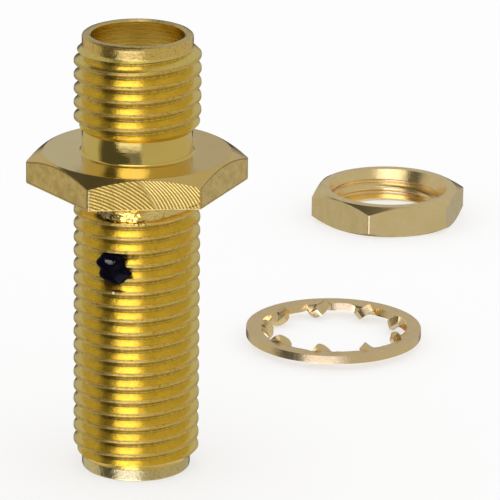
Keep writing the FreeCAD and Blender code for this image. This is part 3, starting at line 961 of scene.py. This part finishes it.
def washer_sector():
    """A sheet sector of the washer: its part of the ring, with the twisted tooth that grows from it."""
    half_sector = math.pi / TOOTH_COUNT
    half_root = math.asin(TOOTH_ROOT_HALF / WASHER_ROOT_R)
    sheet = draw("toothed_washer", [(WASHER_ROOT_R, 0), ((WASHER_ROOT_R + WASHER_R) / 2, 0), (WASHER_R, 0)])
    sheet.rotation_euler = (0, 0, -half_sector)
    take(sheet)
    bpy.ops.object.transform_apply(rotation=True)
    turned = -half_sector
    beside = (half_sector - half_root, RING_STEPS)
    with editing(sheet) as mesh:
        for angle, steps in (beside, (2 * half_root, TOOTH_STEPS), beside):
            pick(sheet, mesh, lambda vert: abs(math.atan2(vert.co.y, vert.co.x) - turned) < TOUCH, "VERT")
            bpy.ops.mesh.spin(steps=steps, angle=angle, center=(0, 0, 0), axis=(0, 0, -1))
            mesh = bmesh.from_edit_mesh(sheet.data)
            turned += angle
    close_shell(sheet)
    with editing(sheet) as mesh:
        pick(sheet, mesh, on_tooth_root, "EDGE")
        for r, half, share in TOOTH_ROWS:
            bpy.ops.mesh.extrude_edges_move()
            mesh = bmesh.from_edit_mesh(sheet.data)
            row = sorted((vert for vert in mesh.verts if vert.select), key=lambda vert: vert.co.y)
            twist = TOOTH_TWIST * share
            for step, vert in enumerate(row):
                along = (2 * step / (len(row) - 1) - 1) * half
                vert.co = (r, along * math.cos(twist), along * math.sin(twist))
            bmesh.update_edit_mesh(sheet.data)
    return sheet


def lock_washer():
    """The washer: the sector copied round the ring, thickened, and its edges rounded."""
    piece = washer_sector()
    copies = [piece]
    for step in range(1, TOOTH_COUNT):
        take(piece)
        bpy.ops.object.duplicate()
        copy = bpy.context.object
        copy.rotation_euler = (0, 0, 2 * math.pi * step / TOOTH_COUNT)
        bpy.ops.object.transform_apply(rotation=True)
        copies.append(copy)
    for copy in copies:
        copy.select_set(True)
    bpy.context.view_layer.objects.active = piece
    bpy.ops.object.join()
    close_shell(piece)
    apply_modifier(piece, "SOLIDIFY", thickness=WASHER_SHEET, offset=0, use_even_offset=False,
                   use_quality_normals=True)
    apply_modifier(piece, "BEVEL", width=WASHER_EDGE, segments=2, limit_method="ANGLE",
                   angle_limit=math.radians(60), use_clamp_overlap=True)
    apply_modifier(piece, "SUBSURF", levels=1, render_levels=1)
    centre = (WASHER_LOW + WASHER_HIGH) / 2
    lift = TOOTH_SHOULDER_HALF * abs(math.sin(TOOTH_TWIST)) + WASHER_SHEET / 2 * math.cos(TOOTH_TWIST)
    take(piece)
    piece.rotation_euler = (0, 0, WASHER_TURN)
    piece.location = (centre.x, centre.y, WASHER_LOW.z + lift)
    bpy.ops.object.transform_apply(location=True, rotation=True, scale=True)
    dress(piece, satin_gold("washer_plating", WASHER_GOLD, 0.24))
    return finish_piece(piece, "plated_washer", "lock_washer", smooth=math.radians(60))


# Stage, light and camera

FLOOR_SIZE = 8
FLOOR_GLOW = 0.6

# Direction in degrees, and distance, lens and the point that it looks at in millimetres
CAMERA_AZIMUTH = -4.2
CAMERA_ELEVATION = 17.7
CAMERA_DISTANCE = 240
CAMERA_LENS = 351.3
CAMERA_ROLL = math.radians(0.707)
AIM_RIGHT = 5.566
AIM_DOWN = 3.351


def camera():
    """The camera looks past the adapter so that all three pieces are in the picture."""
    back = heading(CAMERA_AZIMUTH, CAMERA_ELEVATION)
    right = heading(CAMERA_AZIMUTH + 90, 0)
    up = back.cross(right)
    aim = right * AIM_RIGHT - up * AIM_DOWN
    bpy.ops.object.select_all(action="DESELECT")
    bpy.ops.object.camera_add(location=back * CAMERA_DISTANCE * MM)
    eye = bpy.context.object
    eye.data.lens = CAMERA_LENS
    eye.data.clip_start = 0.001
    eye.data.clip_end = 100
    eye.rotation_mode = "QUATERNION"
    looking = (aim - back * CAMERA_DISTANCE).to_track_quat("-Z", "Y")
    eye.rotation_quaternion = looking @ Quaternion((0, 0, 1), CAMERA_ROLL)
    bpy.context.scene.camera = eye


def stage():
    """A plain pale floor, which shows the pieces' shadows."""
    bpy.ops.object.select_all(action="DESELECT")
    bpy.ops.mesh.primitive_plane_add(size=FLOOR_SIZE, location=(0, 0, LONG_END * MM))
    floor = bpy.context.object
    floor.name = "floor"
    material, nodes = new_material("pale_floor")
    paint = nodes.add("ShaderNodeBsdfDiffuse", {}, {"Color": FLOOR_WHITE})
    white = nodes.add("ShaderNodeEmission", {}, {"Color": FLOOR_WHITE, "Strength": 1.0})
    camera_ray = nodes.add("ShaderNodeLightPath", {}, {}, output="Is Camera Ray")
    surface = nodes.add("ShaderNodeMixShader", {}, {0: camera_ray * FLOOR_GLOW, 1: paint, 2: white})
    nodes.add("ShaderNodeOutputMaterial", {}, {"Surface": surface})
    floor.data.materials.append(material)
    floor.visible_glossy = False


def studio():
    """A white tent with a bright window in front and darker gaps, which only the metal sees."""
    world = bpy.data.worlds.new("studio")
    bpy.context.scene.world = world
    world.use_nodes = True
    world.cycles.sampling_method = "NONE"
    nodes = Nodes(world.node_tree)
    way = nodes.add("ShaderNodeTexCoord", {}, {}, output="Generated")
    x, y, z = (nodes.add("ShaderNodeSeparateXYZ", {}, {0: way}, output=axis) for axis in ("X", "Y", "Z"))
    azimuth = x.maths("ARCTAN2", -y) * (180 / math.pi)
    below = z.maths("ARCSINE") * (-180 / math.pi)
    level = below.over(30, 25) * 0.16 + 0.5

    def lay(under, share, light):
        """Cover part of the tent with another light."""
        return under * (1 - share) + share * light

    def toward(turned, height):
        """How nearly the direction points to a spot in the sky: 1 straight at it."""
        there = heading(turned, height)
        return x * there.x + y * there.y + z * there.z

    # A dull panel in front to the right, and the dark low behind
    level = lay(level, azimuth.between(5, 45, 14) * below.over(5, 30), below.over(30, 20) * 0.07 + 0.47)
    level = lay(level, toward(177, -16).over(0.905, 0.03), 0.05)

    # A dark gap in front to the left, and beside it the window, which brightens downwards
    border = (azimuth + below.over(30, 16) * 5 - (1 - below.over(2, 26)) * 30).over(-45, 14)
    gap = azimuth.over(-86, 16) * (1 - border) * below.over(-65, 20)
    level = lay(level, gap, below.over(30, 20) * 0.025 + 0.075)
    window = border * (1 - azimuth.over(3, 6)) * below.over(-50, 20)
    level = lay(level, window, below.over(8, 20) * 0.92 + below.over(32, 22) * 1.5 + 0.19)

    # A bright patch high in front, and a dark one high behind
    level = lay(level, toward(-15, 48).over(0.91, 0.08), 1.4)
    level = lay(level, toward(-152, 60).over(0.93, 0.05), 0.07)

    camera_ray = nodes.add("ShaderNodeLightPath", {}, {}, output="Is Camera Ray")
    diffuse_ray = nodes.add("ShaderNodeLightPath", {}, {}, output="Is Diffuse Ray")
    plain = camera_ray.maths("MAXIMUM", diffuse_ray)
    level = lay(level, plain, 1.0)
    colour = nodes.mix(window * (1 - plain), PLAIN_LIGHT, WINDOW_LIGHT)
    background = nodes.add("ShaderNodeBackground", {}, {"Color": colour, "Strength": level})
    nodes.add("ShaderNodeOutputWorld", {}, {"Surface": background})


adapter_body()
gleam(epoxy_blob())
panel_nut()
lock_washer()
dress(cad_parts["insulator"], white_plastic())
dress(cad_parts["center_contact"], bored_gold("contact_plating"))
camera()
stage()
studio()
bpy.context.scene.view_settings.view_transform = "Standard"
